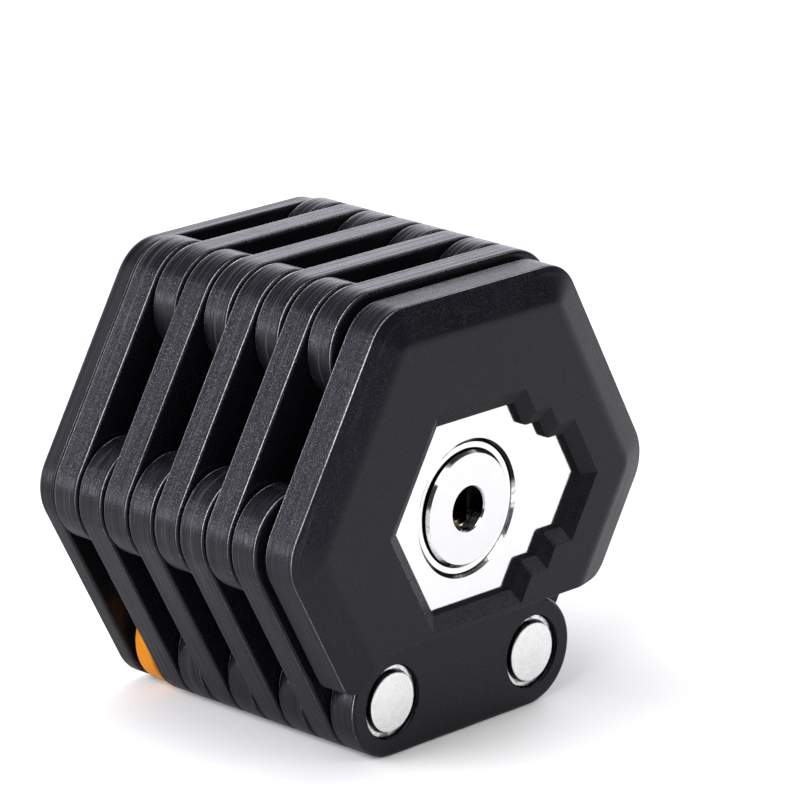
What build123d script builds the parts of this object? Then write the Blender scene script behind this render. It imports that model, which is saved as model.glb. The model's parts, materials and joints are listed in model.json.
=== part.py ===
from build123d import *
from math import cos, sin, radians, sqrt
import os

os.makedirs("parts", exist_ok=True)

# Folding bike lock, folded. Millimetres, +Z up, the head looks along -Y.
# Origin: middle of the footprint, on the surface the lock stands on.

# ---------------------------------------------------------------- driving dimensions
pitch = 35.0            # link pitch, also the radius of the circle through the six pin corners
link_width = 19.2       # width of a link
link_thick = 5.6        # thickness of a link
layer = 6.0             # spacing of the nine layers of links
link_edge_r = 0.7       # rounding of the long edges of a link

plate_rim = 9.0         # end plate: distance from the pin hexagon to its edge
plate_thick = 4.0       # end plate thickness
head_rim = 8.4          # head: distance from the pin hexagon to its side wall
face_rim = 2.4          # head: distance from the pin hexagon to the edge of the flat face
chamfer_depth = 2.0     # depth of the wide chamfer round the face
face_ahead = 3.1        # the head's face stands this far in front of the first link
head_back = 4.85        # the head's back, behind the front of the first link

notch_z = -20.0         # lower edge of the head beside the first link, from the centre
bevel_depth = 1.4       # depth of the recess bevel
recess_flare = 2.5      # width of the recess bevel
step_wall = 1.1         # upright wall from the foot of the bevel to the polished plate
face_blend_r = 5.0      # soft transition from the face to the wide chamfer
trim_thick = 1.2        # polished plate in the recess
lock_x = -0.5           # lock cylinder axis, from the centre

base_rim = 5.6          # base plate: distance from the pin hexagon to its edge
base_thick = 2.6        # base plate thickness
ear_r = 9.0             # radius of the chain ear on the base plate
ear_len = 14.0          # length of the ear towards the right corner

bezel_r = 11.6
bezel_drop = 0.55       # the ring round the cylinder lies below the polished plate
barrel_r = 10.15
barrel_rise = 0.4       # the cylinder's face stands above the polished plate
keyhole_r = 3.83
barrel_bore_r = 7.0
plug_r = 6.9
case_r = 14.2
case_cavity_r = 10.6
crank_r = 3.5           # throw of the drive pin on the plug's tail
bolt_angle = 60         # the bolt slides towards the upper right corner

rivet_head_r = 5.25     # flat raised middle of the head
rivet_flange_r = 6.4    # collar round it, lower than the middle
rivet_flange_drop = 0.95
rivet_head_t = 1.9
rivet_shank_r = 3.5
rivet_tail_r = 4.8
bore_clear = 0.05       # running clearance of the shank in the front plate
sink_r = 6.55           # counterbore for the rivet head
sink_depth = 2.0

# ---------------------------------------------------------------- derived positions
apothem = pitch * sqrt(3) / 2
z_mid = apothem + link_width / 2                       # height of the prism's axis
y_front = -(9 * layer + plate_thick - face_ahead) / 2  # front face of the first link
y_face = y_front - face_ahead
y_wall = y_face + chamfer_depth
y_back = y_front + head_back
y_foot = y_face + bevel_depth
y_trim = y_foot + step_wall
y_plate = y_front + 9 * layer
y_end = y_plate + plate_thick


def corner(k):
    """Pin corner k in X and Z: 0 left, then clockwise seen from the front."""
    a = radians(180 - 60 * k)
    return (pitch * cos(a), z_mid + pitch * sin(a))


def front_of(n):
    """Y of the front face of layer n, 9 at the head and 1 at the end plate."""
    return y_front + (9 - n) * layer


def facing(y):
    """Sketch plane at this Y, looking out of the front (local x = X, local y = Z)."""
    return Plane.XZ.offset(-y)


# ---------------------------------------------------------------- chain layout
# From the head to the end plate: side of the hexagon by its two corners, and layer.
sides = {"low": (4, 5), "low_left": (5, 0), "up_left": (0, 1),
         "top": (1, 2), "up_right": (2, 3), "low_right": (3, 4)}
order = ["low", "low_left", "up_left", "top", "up_right", "low_right"]
levels = {"low": [9, 7, 5, 3], "low_left": [8, 6, 4, 2], "up_left": [7, 5, 3, 1],
          "top": [8, 6, 4, 2], "up_right": [7, 5, 3, 1], "low_right": [6, 4, 2]}
chain = []
for turn in range(4):
    for side in order:
        if turn < len(levels[side]):
            chain.append((side, levels[side][turn]))

# ---------------------------------------------------------------- links
for i, (side, level) in enumerate(chain):
    a, b = sides[side]
    before = 8 if i == 0 else chain[i - 1][1]
    after = 0 if i == len(chain) - 1 else chain[i + 1][1]
    yf = front_of(level)
    yb = yf + link_thick
    (xa, za), (xb, zb) = corner(a), corner(b)
    with BuildPart() as link:
        with BuildSketch(facing(yb)):
            with BuildLine():
                l1 = CenterArc((xa, za), link_width / 2, 0, 360, mode=Mode.PRIVATE)
                turn_a = 180 - 60 * a
                turn_b = 180 - 60 * b
                side_dir = (turn_a + turn_b) / 2 if abs(turn_a - turn_b) < 180 else 210
                CenterArc((xa, za), link_width / 2, side_dir, 180)
                CenterArc((xb, zb), link_width / 2, side_dir, -180)
                ux, uz = cos(radians(side_dir)) * link_width / 2, sin(radians(side_dir)) * link_width / 2
                Line((xa + ux, za + uz), (xb + ux, zb + uz))
                Line((xa - ux, za - uz), (xb - ux, zb - uz))
            make_face()
        extrude(amount=link_thick)
        fillet(link.edges().group_by(Axis.Y)[0] + link.edges().group_by(Axis.Y)[-1], link_edge_r)
        for (x, z), other in (((xa, za), before), ((xb, zb), after)):
            if level > other:
                # front plate of the pair: free bore and counterbore for the rivet head
                with Locations(Plane(origin=(x, yf, z), x_dir=(1, 0, 0), z_dir=(0, -1, 0))):
                    CounterBoreHole(rivet_shank_r + bore_clear, sink_r, sink_depth)
            else:
                # rear plate of the pair: the rivet is staked here
                with Locations(Plane(origin=(x, yb, z), x_dir=(1, 0, 0), z_dir=(0, 1, 0))):
                    CounterSinkHole(rivet_shank_r, rivet_tail_r, counter_sink_angle=90)
    link.part.label = f"link_{i + 1:02d}"
    export_step(link.part, f"parts/link_{i + 1:02d}.step")

# ---------------------------------------------------------------- rivets
joint_corners = [sides[chain[0][0]][0]] + [sides[s][1] for s, n in chain]
joint_levels = [8] + [n for s, n in chain] + [0]
for j, k in enumerate(joint_corners):
    x, z = corner(k)
    n_front = max(joint_levels[j], joint_levels[j + 1])
    n_rear = min(joint_levels[j], joint_levels[j + 1])
    yf = front_of(n_front)
    y_tail = y_end if n_rear == 0 else front_of(n_rear) + link_thick
    length = y_tail - yf
    flare = rivet_tail_r - rivet_shank_r
    with BuildPart() as rivet:
        with BuildSketch(Plane(origin=(x, yf, z), x_dir=(1, 0, 0), z_dir=(0, 0, 1))):
            with BuildLine():
                Polyline((0, 0), (rivet_head_r - 0.2, 0), (rivet_head_r - 0.05, 0.07), (rivet_head_r, 0.25),
                         (rivet_head_r, rivet_flange_drop), (rivet_flange_r - 0.12, rivet_flange_drop),
                         (rivet_flange_r, rivet_flange_drop + 0.12), (rivet_flange_r, rivet_head_t),
                         (rivet_shank_r, rivet_head_t),
                         (rivet_shank_r, length - flare), (rivet_tail_r, length), (0, length), close=True)
            make_face()
        revolve(axis=Axis((x, yf, z), (0, 1, 0)))
    rivet.part.label = f"rivet_{j + 1:02d}"
    export_step(rivet.part, f"parts/rivet_{j + 1:02d}.step")

# ---------------------------------------------------------------- end plate and locking lug
lug_back = y_plate - 1.6
lug_front = front_of(1) + 0.2
xl, zl = corner(5)
inward = (cos(radians(60)), sin(radians(60)))          # from the lower left corner to the axis
tongue_len = 12.5
with BuildPart() as end_plate:
    with BuildSketch(facing(y_end)):
        with Locations((0, z_mid)):
            RegularPolygon(pitch, 6)
        offset(amount=plate_rim, kind=Kind.ARC)
    extrude(amount=plate_thick)
    fillet(end_plate.edges().group_by(Axis.Y)[0], 0.6)
    fillet(end_plate.edges().group_by(Axis.Y)[-1], 1.0)
    # raised pad under the lug
    with BuildSketch(facing(y_plate + 0.5)):
        with Locations((xl, zl)):
            Circle(7.6)
    extrude(amount=2.1)
    # hole for the lug's staked shank
    with Locations(Plane(origin=(xl, y_end, zl), x_dir=(1, 0, 0), z_dir=(0, 1, 0))):
        CounterSinkHole(3.0, 4.4, counter_sink_angle=90)
    # the last rivet of the chain is staked here
    x3, z3 = corner(3)
    with Locations(Plane(origin=(x3, y_end, z3), x_dir=(1, 0, 0), z_dir=(0, 1, 0))):
        CounterSinkHole(rivet_shank_r, rivet_tail_r, counter_sink_angle=90)
end_plate.part.label = "end_plate"
export_step(end_plate.part, "parts/end_plate.step")

with BuildPart() as lug:
    with BuildSketch(facing(lug_back)):
        with Locations((xl, zl)):
            Circle(9.2)
        with Locations(((xl + inward[0] * tongue_len / 2), (zl + inward[1] * tongue_len / 2))):
            SlotCenterToCenter(tongue_len, 10.6, rotation=60)
    extrude(amount=lug_back - lug_front)
    fillet(lug.edges().group_by(Axis.Y)[0] + lug.edges().group_by(Axis.Y)[-1], 0.6)
    # shank and staked tail through the end plate
    with BuildSketch(Plane(origin=(xl, lug_back, zl), x_dir=(1, 0, 0), z_dir=(0, 0, 1))):
        with BuildLine():
            Polyline((0, -1), (3.0, -1), (3.0, y_end - lug_back - 1.4), (4.4, y_end - lug_back),
                     (0, y_end - lug_back), close=True)
        make_face()
    revolve(axis=Axis((xl, lug_back, zl), (0, 1, 0)))
    # pocket in the tip of the tongue for the bolt
    tip = (xl + inward[0] * (tongue_len + 5.3), (lug_front + lug_back) / 2, zl + inward[1] * (tongue_len + 5.3))
    with Locations(Plane(origin=tip, x_dir=(0, 1, 0), z_dir=(inward[0], 0, inward[1]))):
        Hole(1.45, depth=5.0)
lug.part.label = "locking_lug"
export_step(lug.part, "parts/locking_lug.step")

# ---------------------------------------------------------------- head: outlines
def notched_outline(rim, z_cut, r_cut, r_toe):
    """Hexagon offset by rim, cut away beside the first link."""
    with BuildSketch() as outline:
        RegularPolygon(pitch, 6)
        offset(amount=rim, kind=Kind.ARC)
        with Locations((corner(5)[0], -apothem)):
            Circle(r_cut, mode=Mode.SUBTRACT)
        with BuildLine():
            Polyline((corner(5)[0], z_cut), (60, z_cut), (60, -60), (corner(5)[0], -60), close=True)
        make_face(mode=Mode.SUBTRACT)
        toe = outline.vertices().filter_by(lambda v: v.X < corner(5)[0]).sort_by(Axis.Y)[0]
        fillet(toe, r_toe)
        heel = outline.vertices().filter_by(lambda v: abs(v.Y - z_cut) < 1e-3).sort_by(Axis.X)[-1]
        fillet(heel, r_toe + 2.5)
    return outline.sketch


def stepped_outline(grow):
    """Outline of the polished plate, stepped on the right; grow widens it evenly."""
    a = 16.6 + grow
    r = a / cos(radians(30))
    s = grow * (1 - 0.5) / cos(radians(30))
    half = [(9.5 + s, a), (12.15 + s, 12.0 + grow), (16.0 + s, 12.0 + grow), (18.05 + s, 8.4 + grow),
            (22.2 + s, 8.4 + grow)]
    tip = (22.2 + s + (8.4 + grow) * 0.577, 0)
    pts = [(-r, 0), (-r / 2, a)] + half + [tip] + [(x, -y) for x, y in reversed(half)] + [(-r / 2, -a)]
    with BuildSketch() as outline:
        with BuildLine():
            Polyline(*pts, close=True)
        make_face()
        inner = [v for v in outline.vertices() if any(
            abs(v.X - px) < 1e-3 and abs(abs(v.Y) - py) < 1e-3 for px, py in (half[1], half[3]))]
        fillet(inner, 1.0)
    return outline.sketch


cut_r = apothem + notch_z
head_outline = notched_outline(head_rim, notch_z, cut_r, 2.5)
base_outline = notched_outline(base_rim, notch_z + 2.4, cut_r + 2.4, 1.5)
pocket_outline = notched_outline(base_rim + 0.1, notch_z + 2.3, cut_r + 2.3, 1.5)
y_base = y_back - base_thick

# head shell: slab with a wide chamfer, stepped recess, notch and rear pocket
with BuildPart() as shell:
    with BuildSketch(facing(y_back)):
        with Locations((0, z_mid)):
            RegularPolygon(pitch, 6)
        offset(amount=head_rim, kind=Kind.ARC)
    extrude(amount=y_back - y_wall)
    with BuildSketch(facing(y_wall)):
        with Locations((0, z_mid)):
            RegularPolygon(pitch, 6)
        offset(amount=head_rim, kind=Kind.ARC)
    with BuildSketch(facing(y_face)):
        with Locations((0, z_mid)):
            RegularPolygon(pitch, 6)
        offset(amount=face_rim, kind=Kind.ARC)
    loft(ruled=True)
    fillet(shell.faces().sort_by(Axis.Y)[0].outer_wire().edges(), face_blend_r)
    with BuildSketch(facing(y_back + 1)):
        with Locations((0, z_mid)):
            add(head_outline)
    extrude(amount=y_back - y_face + 2, mode=Mode.INTERSECT)
    fillet(shell.edges().filter_by(lambda e: abs(e.center().Y - y_wall) < 1e-3
                                   and abs(e.bounding_box().size.Y) < 1e-3), 0.35)
    fillet(shell.edges().filter_by(lambda e: abs(e.center().Y - y_back) < 1e-3
                                   and abs(e.bounding_box().size.Y) < 1e-3), 0.4)
    # bevelled recess with the stepped outline
    with BuildSketch(facing(y_face)):
        with Locations((0, z_mid)):
            add(stepped_outline(recess_flare))
    with BuildSketch(facing(y_foot)):
        with Locations((0, z_mid)):
            add(stepped_outline(0))
    loft(ruled=True, mode=Mode.SUBTRACT)
    with BuildSketch(facing(y_trim + trim_thick)):
        with Locations((0, z_mid)):
            add(stepped_outline(0))
    extrude(amount=trim_thick + step_wall + 0.01, mode=Mode.SUBTRACT)
    # rear pocket for the base plate, hole for the bezel
    with BuildSketch(facing(y_back)):
        with Locations((0, z_mid)):
            add(pocket_outline)
    extrude(amount=base_thick, mode=Mode.SUBTRACT)
    with BuildSketch(facing(y_back)):
        with Locations((lock_x, z_mid)):
            Circle(bezel_r + 0.05)
    extrude(amount=y_back - y_face, mode=Mode.SUBTRACT)
    # four blind holes for the plate screws
    screw_spots = [(-24, 14), (-8, 27), (22, 19), (26, -8)]
    with BuildSketch(facing(y_base)):
        with Locations(*[(x, z_mid + z) for x, z in screw_spots]):
            Circle(1.1)
    extrude(amount=2.6, mode=Mode.SUBTRACT)
shell.part.label = "head_shell"
export_step(shell.part, "parts/head_shell.step")

# polished plate in the recess
with BuildPart() as escutcheon:
    with BuildSketch(facing(y_trim + trim_thick)):
        with Locations((0, z_mid)):
            add(stepped_outline(-0.03))
        with Locations((lock_x, z_mid)):
            Circle(bezel_r + 0.1, mode=Mode.SUBTRACT)
    extrude(amount=trim_thick)
    chamfer(escutcheon.edges().filter_by(GeomType.CIRCLE).sort_by(SortBy.RADIUS)[-2:].sort_by(Axis.Y)[0], 0.45)
escutcheon.part.label = "escutcheon_plate"
export_step(escutcheon.part, "parts/escutcheon_plate.step")

# ring round the cylinder
with BuildPart() as bezel:
    with BuildSketch(facing(y_base - 0.05)):
        with Locations((lock_x, z_mid)):
            Circle(bezel_r)
            Circle(barrel_r + 0.1, mode=Mode.SUBTRACT)
    extrude(amount=y_base - 0.05 - (y_trim + bezel_drop))
    chamfer(bezel.edges().group_by(Axis.Y)[0], 0.2)
bezel.part.label = "cylinder_bezel"
export_step(bezel.part, "parts/cylinder_bezel.step")

# lock barrel: round front with the keyhole, bore for the plug
y_barrel = y_trim - barrel_rise
y_bore = y_barrel + 2.0
y_barrel_end = y_bore + 6.85
with BuildPart() as barrel:
    with BuildSketch(facing(y_barrel_end)):
        with Locations((lock_x, z_mid)):
            Circle(barrel_r)
    extrude(amount=y_barrel_end - y_barrel)
    chamfer(barrel.edges().group_by(Axis.Y)[0], 0.5)
    with BuildSketch(facing(y_barrel_end)):
        with Locations((lock_x, z_mid)):
            Circle(barrel_bore_r)
    extrude(amount=y_barrel_end - y_bore, mode=Mode.SUBTRACT)
    with BuildSketch(facing(y_bore)):
        with Locations((lock_x, z_mid)):
            Circle(keyhole_r)
    extrude(amount=2.0, mode=Mode.SUBTRACT)
    chamfer(barrel.edges().group_by(Axis.Y)[0].filter_by(GeomType.CIRCLE).sort_by(SortBy.RADIUS)[0], 0.25)
barrel.part.label = "lock_barrel"
export_step(barrel.part, "parts/lock_barrel.step")

# key plug: cage for the discs, rear wall, drive pin on its tail
y_plug = y_bore + 0.1
y_plug_end = y_barrel_end - 0.1
ua = radians(bolt_angle)
rest_pin = radians(bolt_angle + 135)
pin_xz = (lock_x + crank_r * cos(rest_pin), z_mid + crank_r * sin(rest_pin))
with BuildPart() as plug:
    with BuildSketch(facing(y_plug_end)):
        with Locations((lock_x, z_mid)):
            Circle(plug_r)
    extrude(amount=y_plug_end - y_plug)
    # cavity for the discs, open at the front through the keyway
    with BuildSketch(facing(y_plug_end - 1.2)):
        with Locations((lock_x, z_mid)):
            Circle(5.5)
    extrude(amount=y_plug_end - 1.2 - (y_plug + 1.0), mode=Mode.SUBTRACT)
    with BuildSketch(facing(y_plug + 1.0)) as way:
        with Locations((lock_x, z_mid)):
            Circle(3.3)
        with Locations((lock_x + 2.6, z_mid)):
            Rectangle(1.6, 8, mode=Mode.SUBTRACT)
    extrude(amount=1.0, mode=Mode.SUBTRACT)
    with BuildSketch(facing(y_plug_end + 2.2)):
        with Locations(pin_xz):
            Circle(1.5)
    extrude(amount=2.2)
plug.part.label = "key_plug"
export_step(plug.part, "parts/key_plug.step")

# coded discs, one behind the other
disc_t = 0.85
with BuildPart() as discs:
    for d, tilt in enumerate([0, 25, -15, 40]):
        y_d = y_plug + 1.05 + d * 1.0
        with BuildSketch(facing(y_d + disc_t)) as disc:
            with Locations((lock_x, z_mid)):
                Circle(5.4)
                Circle(2.9, mode=Mode.SUBTRACT)
            with Locations((lock_x + 2.6 * cos(radians(tilt)), z_mid + 2.6 * sin(radians(tilt)))):
                Rectangle(1.4, 2.6, rotation=tilt)
        extrude(amount=disc_t)
discs.part.label = "detainer_discs"
export_step(discs.part, "parts/detainer_discs.step")

# locking bolt: flat plate with a cross slot for the drive pin, round tip
y_bolt = y_plug_end + 0.25
bolt_t = 1.9
ud = (cos(ua), sin(ua))
vd = (-sin(ua), cos(ua))


def on_bolt(u, v):
    return (lock_x + ud[0] * u + vd[0] * v, z_mid + ud[1] * u + vd[1] * v)


u_rest = -crank_r * cos(radians(45))
with BuildPart() as bolt:
    with BuildSketch(facing(y_bolt + bolt_t)):
        with Locations(on_bolt(-1.1, 1.5)):
            Rectangle(8.8, 9.0, rotation=bolt_angle)
        with Locations(on_bolt(u_rest, 2.985)):
            SlotOverall(5.6, 2 * 1.5 + 0.5, rotation=bolt_angle + 90, mode=Mode.SUBTRACT)
    extrude(amount=bolt_t)
    with BuildSketch(Plane(origin=(on_bolt(3.0, 0)[0], y_bolt + bolt_t / 2, on_bolt(3.0, 0)[1]),
                           x_dir=(0, 1, 0), z_dir=(ud[0], 0, ud[1]))):
        Rectangle(bolt_t, 5.2)
    extrude(amount=10.8)
bolt.part.label = "locking_bolt"
export_step(bolt.part, "parts/locking_bolt.step")

# base plate with the chain ear
x4, z4 = corner(4)
with BuildPart() as base:
    with BuildSketch(facing(y_back)):
        with Locations((0, z_mid)):
            add(base_outline)
    extrude(amount=base_thick)
    ear_mid = (x4 + cos(radians(60)) * ear_len / 2, z4 + sin(radians(60)) * ear_len / 2)
    with BuildSketch(facing(front_of(8) + link_thick)):
        with Locations(ear_mid):
            SlotCenterToCenter(ear_len, 2 * ear_r, rotation=60)
    extrude(amount=link_thick)
    # foot that joins the ear to the plate, above the first link
    with BuildSketch(facing(front_of(8) + 0.2)):
        with Locations(ear_mid):
            SlotCenterToCenter(ear_len, 2 * ear_r, rotation=60)
        with Locations((x4, z_mid + notch_z - 20)):
            Rectangle(80, 40, mode=Mode.SUBTRACT)
    extrude(amount=front_of(8) + 0.2 - y_back)
    with BuildSketch(facing(y_back)):
        with Locations((lock_x, z_mid)):
            Circle(barrel_r + 0.15)
    extrude(amount=base_thick, mode=Mode.SUBTRACT)
    with Locations(Plane(origin=(x4, front_of(8) + link_thick, z4), x_dir=(1, 0, 0), z_dir=(0, 1, 0))):
        CounterSinkHole(rivet_shank_r, rivet_tail_r, counter_sink_angle=90)
    # holes for the plate screws and the case screws
    for x, z in screw_spots:
        with Locations(Plane(origin=(x, y_back, z_mid + z), x_dir=(1, 0, 0), z_dir=(0, 1, 0))):
            CounterSinkHole(1.3, 2.3, counter_sink_angle=90)
    case_spots = [(lock_x + 12.4 * cos(radians(q)), z_mid + 12.4 * sin(radians(q))) for q in (150, 240, 330)]
    with BuildSketch(facing(y_back)):
        with Locations(*case_spots):
            Circle(1.1)
    extrude(amount=base_thick, mode=Mode.SUBTRACT)
base.part.label = "head_base_plate"
export_step(base.part, "parts/head_base_plate.step")

# lock case: cup behind the head, window for the bolt
y_case_end = front_of(8) + link_thick - 0.1
with BuildPart() as case:
    with BuildSketch(facing(y_case_end)):
        with Locations((lock_x, z_mid)):
            Circle(case_r)
    extrude(amount=y_case_end - y_back)
    fillet(case.edges().group_by(Axis.Y)[-1], 0.8)
    with BuildSketch(facing(y_case_end - 0.9)):
        with Locations((lock_x, z_mid)):
            Circle(case_cavity_r)
    extrude(amount=y_case_end - 0.9 - y_back, mode=Mode.SUBTRACT)
    with BuildSketch(facing(y_bolt + bolt_t + 0.15)):
        with Locations(on_bolt(11, 0)):
            Rectangle(12, 5.6, rotation=bolt_angle)
    extrude(amount=bolt_t + 0.3, mode=Mode.SUBTRACT)
    for x, z in case_spots:
        with Locations(Plane(origin=(x, y_case_end, z), x_dir=(1, 0, 0), z_dir=(0, 1, 0))):
            CounterSinkHole(1.1, 1.7, counter_sink_angle=90)
case.part.label = "lock_case"
export_step(case.part, "parts/lock_case.step")

# screws of the lock case
with BuildPart() as case_screws:
    for x, z in case_spots:
        reach = y_case_end - y_base
        with BuildSketch(Plane(origin=(x, y_base, z), x_dir=(1, 0, 0), z_dir=(0, 0, 1))):
            with BuildLine():
                Polyline((0, 0), (1.05, 0), (1.05, reach - 0.6), (1.65, reach), (0, reach), close=True)
            make_face()
        revolve(axis=Axis((x, y_base, z), (0, 1, 0)))
    with BuildSketch(facing(y_case_end)):
        with Locations(*case_spots):
            RegularPolygon(0.7, 6)
    extrude(amount=0.7, mode=Mode.SUBTRACT)
case_screws.part.label = "case_screws"
export_step(case_screws.part, "parts/case_screws.step")

# screws that hold the base plate in the shell
with BuildPart() as plate_screws:
    for x, z in screw_spots:
        with BuildSketch(Plane(origin=(x, y_base - 2.4, z_mid + z), x_dir=(1, 0, 0), z_dir=(0, 0, 1))):
            with BuildLine():
                Polyline((0, 0), (1.05, 0), (1.05, 2.4), (1.25, 2.4), (1.25, 2.4 + base_thick - 1.0),
                         (2.25, 2.4 + base_thick), (0, 2.4 + base_thick), close=True)
            make_face()
        revolve(axis=Axis((x, y_base - 2.4, z_mid + z), (0, 1, 0)))
    with BuildSketch(facing(y_back)):
        with Locations(*[(x, z_mid + z) for x, z in screw_spots]):
            RegularPolygon(0.9, 6)
    extrude(amount=0.9, mode=Mode.SUBTRACT)
plate_screws.part.label = "plate_screws"
export_step(plate_screws.part, "parts/plate_screws.step")
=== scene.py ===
import bpy, bmesh, json, math
from mathutils import Matrix, Vector


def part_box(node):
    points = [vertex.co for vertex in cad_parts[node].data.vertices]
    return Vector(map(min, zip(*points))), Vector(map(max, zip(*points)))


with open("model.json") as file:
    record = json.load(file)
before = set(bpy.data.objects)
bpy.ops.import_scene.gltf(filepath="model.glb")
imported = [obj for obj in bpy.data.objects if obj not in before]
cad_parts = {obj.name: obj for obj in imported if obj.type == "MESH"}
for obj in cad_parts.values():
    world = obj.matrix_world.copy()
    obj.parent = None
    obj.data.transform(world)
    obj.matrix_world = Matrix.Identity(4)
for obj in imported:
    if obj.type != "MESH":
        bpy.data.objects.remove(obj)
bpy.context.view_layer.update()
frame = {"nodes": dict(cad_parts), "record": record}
nodes = frame["nodes"]
record = frame["record"]

# ---------------------------------------------------------------- places, from the frame
shell_lo, shell_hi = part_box("head_shell")
barrel_lo, barrel_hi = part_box("lock_barrel")
link_lo, link_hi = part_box("link_01")
LOCK_X = (barrel_lo[0] + barrel_hi[0]) / 2
LOCK_Z = (barrel_lo[2] + barrel_hi[2]) / 2
Y_LINK = link_lo[1]                       # front of the first link
LAYER = 0.006                             # spacing of the layers
THICK = link_hi[1] - link_lo[1]


# ---------------------------------------------------------------- node helpers
class Mat:
    """A small builder for one procedural material."""

    def __init__(self, name):
        self.m = bpy.data.materials.new(name)
        self.m.use_nodes = True
        self.t = self.m.node_tree
        self.t.nodes.clear()
        self.out = self.t.nodes.new("ShaderNodeOutputMaterial")
        self.b = self.t.nodes.new("ShaderNodeBsdfPrincipled")
        self.t.links.new(self.b.outputs["BSDF"], self.out.inputs["Surface"])
        tc = self.t.nodes.new("ShaderNodeTexCoord")
        self.obj, self.nrm, self.gen = tc.outputs["Object"], tc.outputs["Normal"], tc.outputs["Generated"]

    def put(self, sock, v):
        if isinstance(v, bpy.types.NodeSocket):
            self.t.links.new(v, sock)
        else:
            sock.default_value = v

    def math(self, op, a, b=0.0, c=0.0, clamp=False):
        n = self.t.nodes.new("ShaderNodeMath")
        n.operation = op
        n.use_clamp = clamp
        self.put(n.inputs[0], a)
        self.put(n.inputs[1], b)
        self.put(n.inputs[2], c)
        return n.outputs[0]

    def xyz(self, v):
        n = self.t.nodes.new("ShaderNodeSeparateXYZ")
        self.put(n.inputs[0], v)
        return n.outputs

    def join(self, x, y, z):
        n = self.t.nodes.new("ShaderNodeCombineXYZ")
        self.put(n.inputs[0], x)
        self.put(n.inputs[1], y)
        self.put(n.inputs[2], z)
        return n.outputs[0]

    def noise(self, vec, scale, detail=3.0, rough=0.55, dist=0.0):
        n = self.t.nodes.new("ShaderNodeTexNoise")
        self.put(n.inputs["Vector"], vec)
        n.inputs["Scale"].default_value = scale
        n.inputs["Detail"].default_value = detail
        n.inputs["Roughness"].default_value = rough
        n.inputs["Distortion"].default_value = dist
        return n.outputs["Fac"]

    def voronoi(self, vec, scale, feature="F1"):
        n = self.t.nodes.new("ShaderNodeTexVoronoi")
        n.feature = feature
        self.put(n.inputs["Vector"], vec)
        n.inputs["Scale"].default_value = scale
        return n.outputs["Distance"]

    def span(self, v, a, b, c=0.0, d=1.0, smooth=False):
        n = self.t.nodes.new("ShaderNodeMapRange")
        n.interpolation_type = "SMOOTHSTEP" if smooth else "LINEAR"
        self.put(n.inputs["Value"], v)
        self.put(n.inputs["From Min"], a)
        self.put(n.inputs["From Max"], b)
        self.put(n.inputs["To Min"], c)
        self.put(n.inputs["To Max"], d)
        return n.outputs["Result"]

    def mix(self, f, a, b):
        n = self.t.nodes.new("ShaderNodeMix")
        n.data_type = "RGBA"
        self.put(n.inputs["Factor"], f)
        self.put(n.inputs[6], a)
        self.put(n.inputs[7], b)
        return n.outputs[2]

    def lerp(self, f, a, b):
        n = self.t.nodes.new("ShaderNodeMix")
        n.data_type = "FLOAT"
        self.put(n.inputs["Factor"], f)
        self.put(n.inputs[2], a)
        self.put(n.inputs[3], b)
        return n.outputs[0]

    def bump(self, height, strength, dist, normal=None):
        n = self.t.nodes.new("ShaderNodeBump")
        self.put(n.inputs["Height"], height)
        self.put(n.inputs["Strength"], strength)
        n.inputs["Distance"].default_value = dist
        if normal is not None:
            self.put(n.inputs["Normal"], normal)
        return n.outputs["Normal"]

    def set(self, **kw):
        for k, v in kw.items():
            self.put(self.b.inputs[k.replace("_", " ")], v)
        return self.m


def rgb(r, g, b):
    return (r, g, b, 1.0)


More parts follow.
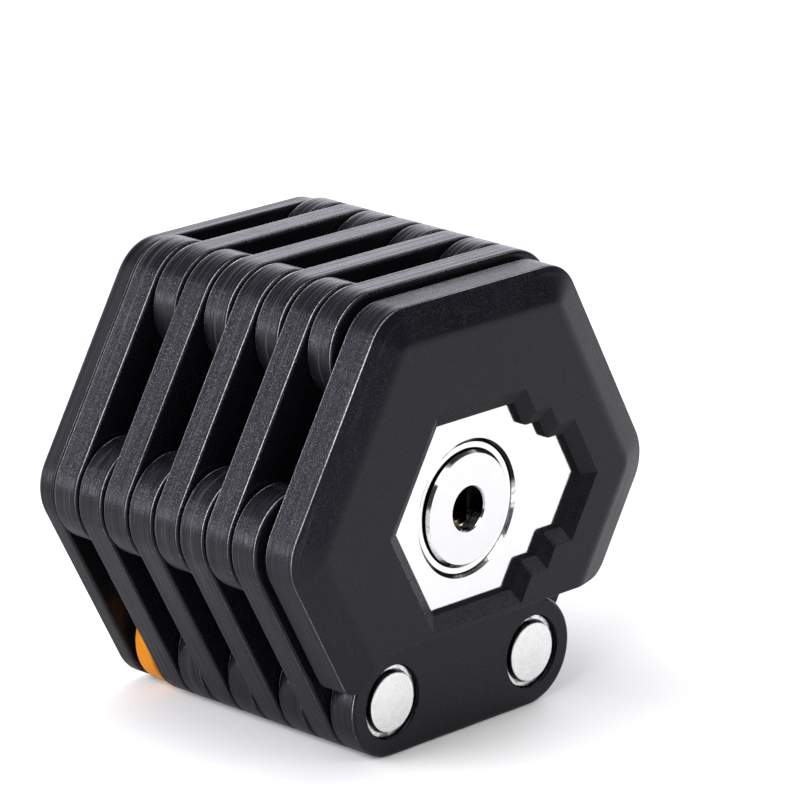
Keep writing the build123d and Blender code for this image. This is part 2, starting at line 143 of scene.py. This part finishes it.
def coat(name, base, lit, rough, edge_grain, face_grain, spec=0.33, parting=0.0, speck=0.5, edge_wear_and_highlight=0.0,
         wear_and_highlight_band=(0.38, 0.45, 0.52, 0.59), flat_from=0.80, grit=1.0, lit_tread_colour=None, fleck_scale=4400.0):
    """Satin coat on steel: smooth on the flat faces, finely grained on the edges all round."""
    m = Mat(name)
    n = m.xyz(m.nrm)
    ny = m.math("ABSOLUTE", n[1])
    flat = m.span(ny, flat_from, 0.98, smooth=True)
    # the straight sides of the hexagon are grained, the rounded ends between them are smoother
    ang = m.math("ARCTAN2", n[2], n[0])
    straight = m.span(m.math("COSINE", m.math("MULTIPLY", m.math("SUBTRACT", ang, math.pi / 6), 6.0)), 0.45, 0.93, smooth=True)
    # painted shade: this mask is high on upward-facing sides and low on downward ones; it cuts back the lighter flecks
    # and rubbed lines underneath, so the underside is painted darker, and it also weakens the grain and raises the
    # roughness there
    top_lit_mask = m.span(n[2], -0.40, 0.25, 0.22, 1.0, smooth=True)
    fine = m.noise(m.obj, fleck_scale, 2.0, 0.6)
    grain = m.noise(m.obj, 2600.0 * grit, 3.0, 0.62)
    cells = m.voronoi(m.obj, 3300.0 * grit)
    broad = m.noise(m.obj, 140.0, 3.0, 0.5)
    # drawn lines that run along the edge of the bar
    ox, oy, oz = m.xyz(m.obj)
    streak = m.noise(m.join(m.math("MULTIPLY", ox, 0.035), oy, m.math("MULTIPLY", oz, 0.035)), 2300.0, 2.0, 0.6)
    height = m.math("ADD", m.math("MULTIPLY", grain, 0.65), m.math("MULTIPLY", cells, 0.35))
    strength = m.lerp(flat, m.math("MULTIPLY", m.lerp(straight, 0.22, edge_grain), m.span(top_lit_mask, 0.22, 1.0, 0.45, 1.0)),
                      face_grain)
    normal = m.bump(height, strength, 0.00006)
    broad_streak = m.noise(m.join(m.math("MULTIPLY", ox, 0.02), oy, m.math("MULTIPLY", oz, 0.02)), 880.0, 2.0, 0.55)
    normal = m.bump(streak, m.lerp(flat, 0.75, 0.0), 0.00006, normal)
    normal = m.bump(broad_streak, m.lerp(flat, 0.80, 0.0), 0.00022, normal)
    # flecks of lighter coat, only on the grained edges, cut back on downward-facing sides as painted shade
    patchy = m.span(m.noise(m.obj, 420.0, 3.0, 0.6), 0.30, 0.70, 0.55, 1.25)
    fleck = m.span(fine, 0.53, 0.66, 0.0, 1.0, smooth=True)
    amount = m.math("MULTIPLY", m.lerp(straight, 0.16, 1.0), top_lit_mask)
    fleck = m.math("MULTIPLY", m.math("MULTIPLY", fleck, patchy), m.lerp(flat, m.math("MULTIPLY", amount, speck), speck * 0.05))
    shade = m.mix(m.span(broad, 0.35, 0.70), rgb(*[c * 0.90 for c in base]), rgb(*[c * 1.12 for c in base]))
    colour = m.mix(fleck, shade, rgb(*lit))
    # lighter rubbed lines along the edge streaks, cut back on downward-facing sides as painted shade
    rub_line = m.math("MULTIPLY", m.span(streak, 0.60, 0.72, smooth=True), m.math("SUBTRACT", 1.0, flat))
    colour = m.mix(m.math("MULTIPLY", m.math("MULTIPLY", rub_line, top_lit_mask), 0.28 * min(1.0, speck * 1.5)), colour, rgb(*lit))
    r = m.math("ADD", m.span(grain, 0.3, 0.7, rough - 0.05, rough + 0.05), m.span(broad, 0.3, 0.7, -0.03, 0.03))
    r = m.math("ADD", r, m.math("MULTIPLY", m.math("SUBTRACT", 1.0, flat), m.span(top_lit_mask, 0.22, 0.8, 0.30, 0.0)))
    if lit_tread_colour is not None:
        # the sides of the stepped recess: grained bevel with painted light on the treads that face upward and painted
        # shade on the risers, and the upright wall below it painted black as shade
        x, y, z = m.xyz(m.obj)
        dx, dz = m.math("SUBTRACT", x, 0.0), m.math("SUBTRACT", z, LOCK_Z)
        rad = m.math("SQRT", m.math("ADD", m.math("MULTIPLY", dx, dx), m.math("MULTIPLY", dz, dz)))
        inside = m.span(rad, 0.0312, 0.0316, 1.0, 0.0)
        shaded_wall = m.math("MULTIPLY", inside, m.span(ny, 0.3, 0.5, 1.0, 0.0))
        bevel = m.math("MULTIPLY", inside, m.math("MULTIPLY", m.span(ny, 0.78, 0.84), m.span(ny, 0.90, 0.93, 1.0, 0.0)))
        lit_tread = m.span(n[2], 0.27, 0.40, smooth=True)
        colour = m.mix(m.math("MULTIPLY", bevel, m.math("SUBTRACT", 1.0, lit_tread)), colour, rgb(0.0018, 0.0018, 0.0021))
        colour = m.mix(m.math("MULTIPLY", m.math("MULTIPLY", bevel, m.span(lit_tread, 0.0, 1.0, 0.12, 1.0)),
                              m.span(fine, 0.42, 0.62, 0.30, 1.0)), colour, rgb(*lit_tread_colour))
        colour = m.mix(shaded_wall, colour, rgb(0.0015, 0.0015, 0.0017))
        normal = m.bump(m.math("MULTIPLY", grain, bevel), 0.8, 0.00006, normal)
        r = m.math("ADD", r, m.math("MULTIPLY", shaded_wall, 0.35))
    if parting > 0:
        # faint line where the two halves of the coat meet, half way through the thickness
        y = m.xyz(m.obj)[1]
        t = m.math("FRACT", m.math("DIVIDE", m.math("SUBTRACT", y, Y_LINK - 10 * LAYER), LAYER))
        d = m.math("ABSOLUTE", m.math("SUBTRACT", t, THICK / 2 / LAYER))
        line = m.span(d, 0.012, 0.034, 1.0, 0.0, smooth=True)
        some = m.span(m.noise(m.obj, 30.0, 1.0), 0.45, 0.60)
        line = m.math("MULTIPLY", m.math("MULTIPLY", line, some), m.math("SUBTRACT", 1.0, flat))
        line = m.math("MULTIPLY", line, parting)
        normal = m.bump(line, 0.5, 0.00004, normal)
        colour = m.mix(m.math("MULTIPLY", line, 0.25), colour, rgb(*lit))
    if edge_wear_and_highlight > 0:
        # edge wear and a painted highlight: the coat is painted lighter in broken lines along the rounded edges, on the
        # band where the edge highlight falls; less so underneath, which is painted shade, and less on top apart from a
        # line along the rear edge of the top
        w0, w1, w2, w3 = wear_and_highlight_band
        front_side, rear_side = m.math("MULTIPLY", n[1], -1.0), n[1]

        def line(side_n, a0, a1, a2, a3):
            return m.math("MULTIPLY", m.span(side_n, a0, a1, smooth=True), m.span(side_n, a2, a3, 1.0, 0.0, smooth=True))

        underside_shade_cut = m.span(n[2], -0.45, 0.05, 0.12, 1.0)
        underside_shade_cut = m.math("MULTIPLY", underside_shade_cut, m.math("MAXIMUM", straight, m.span(n[2], -0.05, 0.30, 0.35, 1.0)))
        front = m.math("MULTIPLY", line(front_side, w0, w1, w2, w3), m.math("MULTIPLY", underside_shade_cut, m.span(n[2], 0.72, 0.92, 1.0, 0.12)))
        rear = m.math("MULTIPLY", line(rear_side, w0, w1, w2, w3), m.math("MULTIPLY", underside_shade_cut, 0.7))
        top = m.math("MULTIPLY", line(rear_side, 0.08, 0.18, 0.40, 0.46), m.span(n[2], 0.86, 0.95))
        band = m.math("MAXIMUM", m.math("MAXIMUM", front, rear), m.math("MULTIPLY", top, 1.0))
        broken = m.span(m.noise(m.obj, 3400.0, 3.0, 0.7), 0.36, 0.58, 0.28, 1.0, smooth=True)
        reach = m.span(m.noise(m.obj, 55.0, 2.0), 0.34, 0.58, 0.40, 1.0)
        rub_and_highlight = m.math("MULTIPLY", m.math("MULTIPLY", band, broken), m.math("MULTIPLY", reach, edge_wear_and_highlight))
        colour = m.mix(rub_and_highlight, colour, rgb(0.70, 0.70, 0.71))
    m.set(Base_Color=colour, Roughness=r, Normal=normal)
    m.b.inputs["Specular Tint"].default_value = (0.90, 0.885, 1.0, 1.0)
    m.b.inputs["Specular IOR Level"].default_value = spec
    return m.m


def steel(name, base, rough, centre=None, ring=0.0, mottle=0.06, use_gen=False, ring_step=0.00035, side=None,
          unshaded_arcs=None):
    """Turned or polished metal, with fine turning rings round its own axis."""
    m = Mat(name)
    if use_gen:
        x, y, z = m.xyz(m.gen)
        dx, dz = m.math("SUBTRACT", x, 0.5), m.math("SUBTRACT", z, 0.5)
        scale = 0.0128
    else:
        x, y, z = m.xyz(m.obj)
        dx, dz = m.math("SUBTRACT", x, centre[0]), m.math("SUBTRACT", z, centre[1])
        scale = 1.0
    rad = m.math("SQRT", m.math("ADD", m.math("MULTIPLY", dx, dx), m.math("MULTIPLY", dz, dz)))
    rad = m.math("MULTIPLY", rad, scale)
    wob = m.noise(m.obj, 900.0, 2.0)
    ph = m.math("ADD", m.math("MULTIPLY", rad, 6.28318 / ring_step), m.math("MULTIPLY", wob, 2.0))
    rings = m.math("ADD", m.math("MULTIPLY", m.math("SINE", ph), 0.5), 0.5)
    clouds = m.noise(m.obj, 420.0, 4.0, 0.6)
    small = m.noise(m.obj, 2600.0, 2.0, 0.6)
    height = m.math("ADD", m.math("MULTIPLY", rings, ring), m.math("MULTIPLY", small, 0.25))
    normal = m.bump(height, 0.08, 0.00002)
    colour = m.mix(m.span(clouds, 0.35, 0.68), rgb(*[c * (1 - mottle) for c in base]), rgb(*base))
    r = m.math("ADD", m.span(clouds, 0.3, 0.7, rough * 0.75, rough * 1.25), m.math("MULTIPLY", rings, 0.03))
    if use_gen:
        # painted shade: a dark ring in the corner between the raised middle and the collar, with patchy darker grey
        # from its outer part outward
        groove_shade = m.math("MULTIPLY", m.span(rad, 0.00515, 0.00528), m.span(m.math("ADD", rad, m.math("MULTIPLY", small, 0.0003)),
                      0.00560, 0.00590, 1.0, 0.0, smooth=True))
        colour = m.mix(groove_shade, colour, rgb(0.014, 0.014, 0.015))
        colour = m.mix(m.math("MULTIPLY", m.span(rad, 0.00528, 0.0054), m.span(clouds, 0.52, 0.66)), colour, rgb(0.20, 0.20, 0.205))
    if side is not None:
        # painted shade: the upright sides are painted dark, standing in for the shade and dark reflections on them
        ny = m.math("ABSOLUTE", m.xyz(m.nrm)[1])
        side_shade = m.span(m.math("ADD", ny, m.math("MULTIPLY", m.math("SUBTRACT", small, 0.5), 0.25)), side[0], side[1],
                      1.0, 0.0, smooth=True)
        if unshaded_arcs is not None:
            # the painted shade is left off in streaks over a part of the way round, where the metal shows a bright
            # reflection
            ang = m.math("ARCTAN2", dz, dx)
            for mid, half, inner, outer in unshaded_arcs:
                away = m.math("ABSOLUTE", m.math("SUBTRACT", ang, mid))
                here = m.span(away, half * 0.75, half, 1.0, 0.0, smooth=True)
                band = m.math("MULTIPLY", m.span(rad, inner - 0.00015, inner), m.span(rad, outer, outer + 0.00015, 1.0, 0.0))
                streak = m.span(m.noise(m.obj, 1700.0, 2.0), 0.34, 0.52, 0.35, 1.0)
                unshaded = m.math("MULTIPLY", m.math("MULTIPLY", here, band), streak)
                side_shade = m.math("MULTIPLY", side_shade, m.math("SUBTRACT", 1.0, unshaded))
        colour = m.mix(side_shade, colour, rgb(0.012, 0.012, 0.013))
    m.set(Base_Color=colour, Roughness=r, Normal=normal)
    m.b.inputs["Metallic"].default_value = 1.0
    return m.m


def plain_metal(name, base, rough, grain=0.1, scale=1800.0, painted_glint=None):
    m = Mat(name)
    g = m.noise(m.obj, scale, 3.0, 0.6)
    c = m.noise(m.obj, 220.0, 2.0)
    colour = m.mix(m.span(c, 0.35, 0.65), rgb(*[v * 0.86 for v in base]), rgb(*base))
    if painted_glint is not None:
        # painted glint: a bright spot painted in one place, standing in for a highlight
        gx, gz, reach, glint_colour = painted_glint
        x, y, z = m.xyz(m.obj)
        dx, dz = m.math("SUBTRACT", x, gx), m.math("SUBTRACT", z, gz)
        away = m.math("SQRT", m.math("ADD", m.math("MULTIPLY", dx, dx), m.math("MULTIPLY", dz, dz)))
        colour = m.mix(m.span(away, reach * 0.6, reach, 1.0, 0.0, smooth=True), colour, rgb(*glint_colour))
    m.set(Base_Color=colour,
          Roughness=m.span(g, 0.3, 0.7, rough - 0.06, rough + 0.06), Normal=m.bump(g, grain, 0.00003))
    m.b.inputs["Metallic"].default_value = 1.0
    return m.m


# ---------------------------------------------------------------- materials
BLACK = (0.0042, 0.0040, 0.0058)
FLECK = (0.110, 0.108, 0.118)
mats = {
    "link_coating": coat("link coating", BLACK, FLECK, 0.25, 0.62, 0.05, spec=0.178, parting=0.9,
                         edge_wear_and_highlight=0.85, speck=0.62),
    "end_plate_coating": coat("end plate coating", (0.0050, 0.0050, 0.0057), (0.04, 0.04, 0.044), 0.24, 0.16, 0.04,
                              spec=0.15, speck=0.12, edge_wear_and_highlight=0.25),
    "head_coating": coat("head coating", (0.0048, 0.0046, 0.0072), FLECK, 0.27, 0.75, 0.04,
                         spec=0.178, edge_wear_and_highlight=0.9, wear_and_highlight_band=(0.25, 0.40, 0.66, 0.80), flat_from=0.90, speck=0.62,
                         lit_tread_colour=(0.0370, 0.0365, 0.0390)),
    "base_plate_coating": coat("base plate coating", BLACK, (0.05, 0.05, 0.054), 0.32, 0.5, 0.1, spec=0.175),
    "trim_chrome": steel("polished plate", (0.78, 0.78, 0.776), 0.12, centre=(LOCK_X, LOCK_Z), ring=0.0, mottle=0.02,
                         side=(0.75, 0.92), unshaded_arcs=[(-0.80, 1.05, 0.01150, 0.01235)]),
    "bezel_steel": steel("bezel steel", (0.78, 0.78, 0.776), 0.10, centre=(LOCK_X, LOCK_Z), ring=0.4, mottle=0.03,
                         side=(0.45, 0.80)),
    "barrel_steel": steel("barrel steel", (0.74, 0.74, 0.738), 0.10, centre=(LOCK_X, LOCK_Z), ring=0.6, mottle=0.03,
                          side=(0.50, 0.90), unshaded_arcs=[(1.40, 0.92, 0.0094, 0.00995), (-2.35, 0.45, 0.0030, 0.0041),
                                                     (-0.95, 0.55, 0.0030, 0.0041), (-2.25, 0.80, 0.0094, 0.00995)]),
    "rivet_steel": steel("rivet steel", (0.86, 0.86, 0.853), 0.27, ring=0.5, mottle=0.10, use_gen=True,
                         side=(0.05, 0.25)),
    # painted shade: the plug and discs are painted near black, standing in for the shade inside the keyhole, each with
    # a painted glint
    "plug_steel": plain_metal("plug steel", (0.026, 0.025, 0.024), 0.26,
                              painted_glint=(LOCK_X - 0.0001, LOCK_Z - 0.0029, 0.0013, (0.60, 0.54, 0.45))),
    "disc_brass": plain_metal("disc brass", (0.026, 0.021, 0.014), 0.26,
                              painted_glint=(LOCK_X - 0.0001, LOCK_Z - 0.0023, 0.0013, (0.70, 0.60, 0.46))),
    "bolt_steel": plain_metal("bolt steel", (0.55, 0.55, 0.55), 0.30),
    "case_zinc": coat("case coating", BLACK, (0.05, 0.05, 0.05), 0.45, 0.4, 0.3, spec=0.3, speck=0.2),
    "screw_steel": plain_metal("screw steel", (0.12, 0.12, 0.125), 0.36),
}


def orange_mat():
    m = Mat("orange coat")
    n = m.xyz(m.nrm)
    g = m.noise(m.obj, 2400.0, 3.0, 0.6)
    c = m.noise(m.obj, 160.0, 2.0)
    m.set(Base_Color=m.mix(m.span(c, 0.35, 0.65), rgb(0.43, 0.143, 0.0015), rgb(0.49, 0.168, 0.0025)),
          Roughness=m.span(g, 0.3, 0.7, 0.40, 0.50), Normal=m.bump(g, 0.18, 0.00005))
    m.b.inputs["Specular IOR Level"].default_value = 0.08
    return m.m


mats["lug_orange"] = orange_mat()

slot_of = {s["node"]: s.get("material_slot", s["node"]) for s in record["subparts"]}
for name, ob in nodes.items():
    mat = mats[slot_of[name]]
    if not ob.data.materials:
        ob.data.materials.append(mat)
    for s in ob.material_slots:
        s.material = mat

# ---------------------------------------------------------------- camera, floor, lights
cam = bpy.data.objects.new("camera", bpy.data.cameras.new("camera"))
bpy.context.collection.objects.link(cam)
right = Vector((0.68231135, -0.73093086, 0.01383112))
down = Vector((-0.20908104, -0.21323266, -0.9543673))
ahead = Vector((0.70052576, 0.64828382, -0.29831485))
eye = Vector((-0.648938, -0.612449, 0.331571))
rot = Matrix((right, -down, -ahead)).transposed().to_4x4()
cam.matrix_world = Matrix.Translation(eye) @ rot
cam.data.sensor_width = 36.0
cam.data.lens = 5489.3 / 800 * 36.0
cam.data.clip_start, cam.data.clip_end = 0.01, 20.0
bpy.context.scene.camera = cam

fm = Mat("floor")
fm.set(Base_Color=fm.mix(fm.noise(fm.obj, 3.0, 2.0), rgb(0.92, 0.92, 0.915), rgb(0.935, 0.935, 0.93)))
fm.b.inputs["Roughness"].default_value = 0.85
fm.b.inputs["Specular IOR Level"].default_value = 0.1
me = bpy.data.meshes.new("floor")
bm = bmesh.new()
bmesh.ops.create_grid(bm, x_segments=2, y_segments=2, size=4.0)
bm.to_mesh(me)
bm.free()
floor = bpy.data.objects.new("floor", me)
floor.location.z = -0.0001
floor.data.materials.append(fm.m)
bpy.context.collection.objects.link(floor)


def area(name, loc, target, size, power, size_y=None):
    li = bpy.data.lights.new(name, "AREA")
    li.energy = power
    li.size = size
    if size_y:
        li.shape = "RECTANGLE"
        li.size_y = size_y
    ob = bpy.data.objects.new(name, li)
    ob.location = loc
    ob.rotation_mode = "QUATERNION"
    ob.rotation_quaternion = (Vector(target) - Vector(loc)).to_track_quat("-Z", "Y")
    bpy.context.collection.objects.link(ob)
    return ob


def card(name, direction, dist, size, size_y, radiance):
    """A softbox of this radiance, seen from the object in this direction."""
    d = Vector(direction).normalized() * dist
    return area(name, d, (0, 0, 0.03), size, radiance * math.pi * size * size_y, size_y)


overhead = card("overhead", (-0.10, 0.16, 1.0), 1.5, 1.05, 1.05, 2.75)
overhead.visible_glossy = False
card("front_top", (0.05, -0.68, 0.62), 1.5, 1.5, 0.42, 3.4)
card("back_left", (-0.61, 0.65, 0.44), 1.4, 0.7, 0.55, 0.35)
fill = card("left_fill", (-0.80, 0.42, 0.50), 1.3, 0.9, 0.6, 6.0)
fill.visible_glossy = False
right_fill = card("right_fill", (0.90, 0.25, 0.42), 1.3, 0.9, 0.6, 4.0)
right_fill.visible_glossy = False
front = card("front_fill", (-0.55, -0.78, 0.34), 1.3, 0.9, 0.5, 0.7)
front.visible_glossy = False
card("strip", (-0.77, 0.65, 0.12), 1.2, 0.10, 0.40, 20.0)
card("key", (-0.77, -0.33, 0.56), 1.2, 0.35, 0.35, 9.0)

# the room: bright backdrop low behind and at the sides, dark in front and high up
world = bpy.data.worlds.new("world")
bpy.context.scene.world = world
world.use_nodes = True
wt = world.node_tree
wt.nodes.clear()


def wspan(v, a, b, c, d):
    n = wt.nodes.new("ShaderNodeMapRange")
    n.interpolation_type = "SMOOTHSTEP"
    for k, x in (("From Min", a), ("From Max", b), ("To Min", c), ("To Max", d)):
        n.inputs[k].default_value = x
    wt.links.new(v, n.inputs["Value"])
    return n.outputs["Result"]


wo = wt.nodes.new("ShaderNodeOutputWorld")
wb = wt.nodes.new("ShaderNodeBackground")
wc = wt.nodes.new("ShaderNodeTexCoord")
ws = wt.nodes.new("ShaderNodeSeparateXYZ")
wd = wt.nodes.new("ShaderNodeVectorMath")
wd.operation = "DOT_PRODUCT"
wd.inputs[1].default_value = Vector((0.05, -0.99, 0.10)).normalized()
wt.links.new(wc.outputs["Generated"], wd.inputs[0])
wt.links.new(wc.outputs["Generated"], ws.inputs[0])
wx = wt.nodes.new("ShaderNodeMath")
wx.operation = "MULTIPLY"
wt.links.new(wspan(wd.outputs["Value"], -0.25, 0.72, 2.05, 0.11), wx.inputs[0])
wt.links.new(wspan(ws.outputs[2], 0.42, 0.72, 1.0, 0.14), wx.inputs[1])
wt.links.new(wx.outputs[0], wb.inputs["Strength"])
wb.inputs["Color"].default_value = (0.98, 0.965, 1.06, 1.0)
wt.links.new(wb.outputs[0], wo.inputs[0])
bpy.context.scene.view_settings.view_transform = "Standard"
